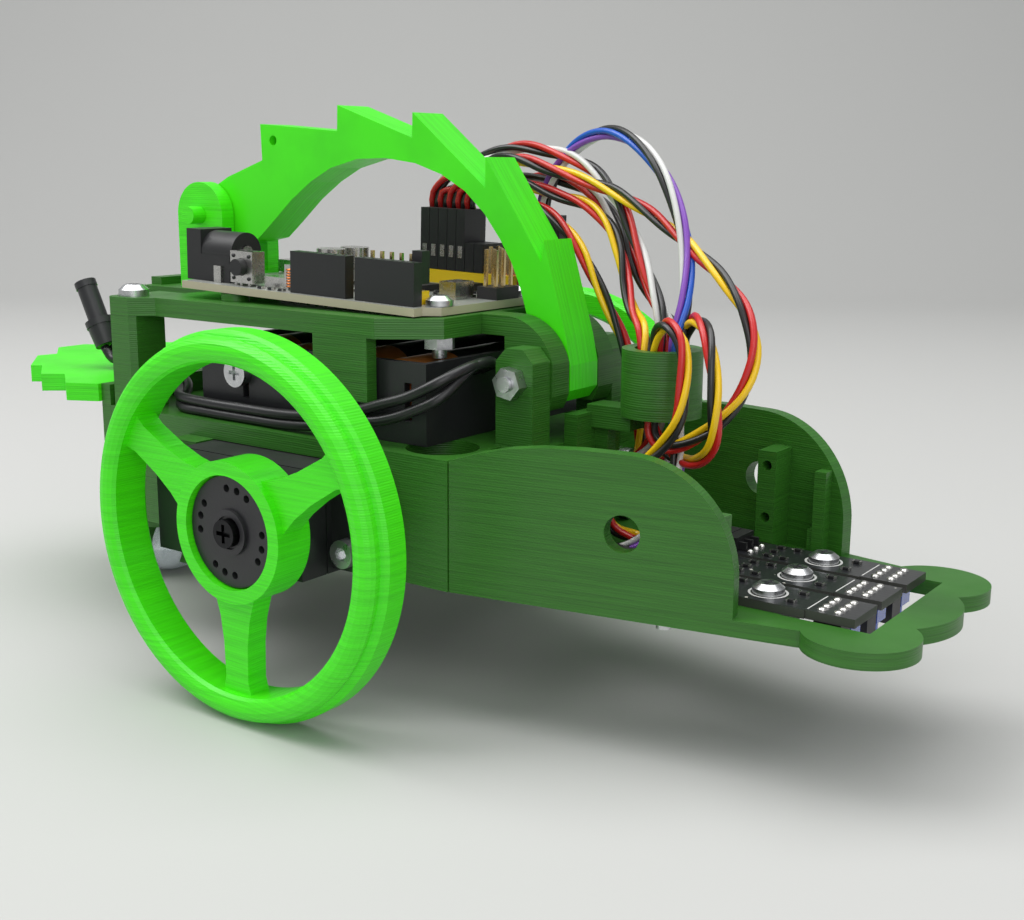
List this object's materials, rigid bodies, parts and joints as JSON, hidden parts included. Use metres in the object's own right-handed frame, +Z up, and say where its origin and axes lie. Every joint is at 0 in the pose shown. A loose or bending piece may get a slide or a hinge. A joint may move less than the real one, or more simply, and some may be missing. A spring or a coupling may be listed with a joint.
{
  "type": "line follower robot",
  "caption": "Two-wheeled line follower robot: printed body, servo drive, sensor nose, marble caster, and a hinged lid with controller board and toothed crest",
  "frame": {"origin": "middle of the bounding box in plan, on the ground that the wheels and the marble stand on", "axes": "+X forwards to the sensors, +Y to the robot's left hand seen from above, +Z up; the wheels turn about Y"},
  "size_m": [0.2425, 0.1228, 0.1166],
  "materials": {
    "green_print": "layered 3D print, satin",
    "lime_print": "layered 3D print, satin",
    "black_plastic": "moulded, fine texture",
    "black_steel": "black oxide",
    "zinc_steel": "zinc plated",
    "tinned_metal": "tinned, bright",
    "connector_black": "moulded",
    "clear_glass": "clear glass ball",
    "cell_sleeve": "printed plastic sleeve",
    "black_cable": "soft sheath",
    "board_white": "coated fibreglass board",
    "board_black": "black coated board",
    "gold_plate": "gold plated pins",
    "yellow_plastic": "moulded",
    "red_plastic": "moulded",
    "blue_lens": "tinted clear resin",
    "wire_yellow": "soft sheath",
    "wire_red": "soft sheath",
    "wire_black": "soft sheath",
    "wire_white": "soft sheath",
    "wire_blue": "soft sheath"
  },
  "bodies": {
    "chassis_body": {"chassis": "green_print", "caster_bracket": "green_print", "tail": "lime_print", "rear_screws": "zinc_steel", "nose": "green_print", "cable_ring": "green_print", "servo_right": "black_plastic", "servo_left": "black_plastic", "servo_screws": "zinc_steel", "hinge_bolt": "zinc_steel", "hinge_nut": "zinc_steel", "battery_holder": "black_plastic", "battery_cells": "cell_sleeve", "battery_screw": "zinc_steel", "battery_lead": "black_cable", "barrel_plug": "black_plastic", "nose_bolts": "zinc_steel", "nose_nuts": "zinc_steel", "sensor_boards": "board_black", "sensor_eyes": "connector_black", "sensor_emitters": "blue_lens", "sensor_headers": "connector_black", "sensor_plugs": "connector_black", "sensor_screws": "zinc_steel", "sensor_lead_a": "wire_yellow", "sensor_lead_b": "wire_red", "sensor_lead_c": "wire_black", "servo_leads": "wire_white", "jumper_lead": "wire_blue"},
    "wheel_left_body": {"wheel_left": "lime_print", "horn_left": "black_plastic", "horn_screw_left": "black_steel"},
    "wheel_right_body": {"wheel_right": "lime_print", "horn_right": "black_plastic", "horn_screw_right": "black_steel"},
    "marble_body": {"marble": "clear_glass"},
    "reset_body": {"reset_button": "connector_black"},
    "lid_body": {"lid": "green_print", "lid_screws": "zinc_steel", "crest": "lime_print", "crest_clevis": "lime_print", "clevis_pin": "lime_print", "clevis_screws": "zinc_steel", "board_pcb": "board_white", "dc_jack": "connector_black", "jack_pin": "tinned_metal", "reset_switch": "tinned_metal", "regulator": "tinned_metal", "capacitors": "tinned_metal", "socket_headers": "connector_black", "pin_strips": "connector_black", "gold_pins": "gold_plate", "header_yellow": "yellow_plastic", "header_red": "red_plastic", "icsp_base": "connector_black", "crystal": "tinned_metal", "chip": "connector_black", "board_screws": "zinc_steel", "board_nuts": "zinc_steel", "lead_plugs": "connector_black"}
  },
  "joints": [
    {"name": "left_wheel_axle", "type": "hinge", "parent": "chassis_body", "child": "wheel_left_body", "pos_m": [0.00425, 0.056, 0.0375], "axis": [0, 1, 0], "continuous": true},
    {"name": "right_wheel_axle", "type": "hinge", "parent": "chassis_body", "child": "wheel_right_body", "pos_m": [0.00425, -0.056, 0.0375], "axis": [0, 1, 0], "continuous": true},
    {"name": "lid_hinge", "type": "hinge", "parent": "chassis_body", "child": "lid_body", "pos_m": [0.03855, 0, 0.0637], "axis": [0, 1, 0], "range_deg": [0, 50], "deforming": ["sensor_lead_a", "sensor_lead_b", "sensor_lead_c", "servo_leads", "jumper_lead"]},
    {"name": "marble_roll", "type": "hinge", "parent": "chassis_body", "child": "marble_body", "pos_m": [-0.08475, 0, 0.008], "axis": [0, 1, 0], "continuous": true},
    {"name": "reset_press", "type": "slide", "parent": "lid_body", "child": "reset_body", "axis": [0, 1, 0], "range_m": [0, 0.0003], "stiffness_N_per_m": 2000}
  ]
}
